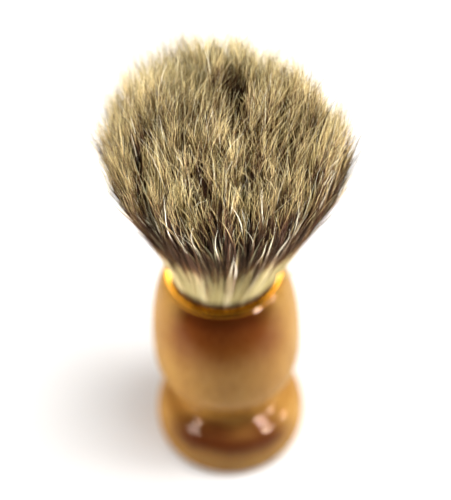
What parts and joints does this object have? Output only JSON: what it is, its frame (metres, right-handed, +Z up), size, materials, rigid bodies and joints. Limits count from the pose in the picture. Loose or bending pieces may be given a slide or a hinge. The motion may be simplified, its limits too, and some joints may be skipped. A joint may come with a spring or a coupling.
{
  "type": "shaving brush",
  "caption": "Upright shaving brush: turned lacquered wood handle with a gilt collar and a flared, domed knot of banded badger hair.",
  "frame": {"origin": "centre of the flat underside of the foot, on the axis of the handle", "axes": "+Z up along the axis towards the hair, -Y towards the viewer in the front view, +X to the right"},
  "size_m": [0.047, 0.047, 0.107],
  "materials": {
    "lacquered_wood": "clear gloss lacquer over honey-coloured hardwood",
    "gilt_metal": "polished gold plating",
    "adhesive": "cured epoxy",
    "cast_resin": "cast resin",
    "cotton_thread": "twisted cotton",
    "badger_hair": "natural hair, cream with a dark band"
  },
  "bodies": {
    "handle": {"handle": "lacquered_wood", "collar_ring": "gilt_metal", "glue_bed": "adhesive", "knot_plug": "cast_resin", "binding_thread": "cotton_thread", "hair_roots": "badger_hair"},
    "hair": {"hair_bloom": "badger_hair"}
  },
  "joints": [
    {"name": "hair_flex", "type": "hinge", "parent": "handle", "child": "hair", "pos_m": [0, 0, 0.063], "axis": [0, 1, 0], "range_deg": [-30, 30], "stiffness_Nm_per_rad": 0.08}
  ]
}
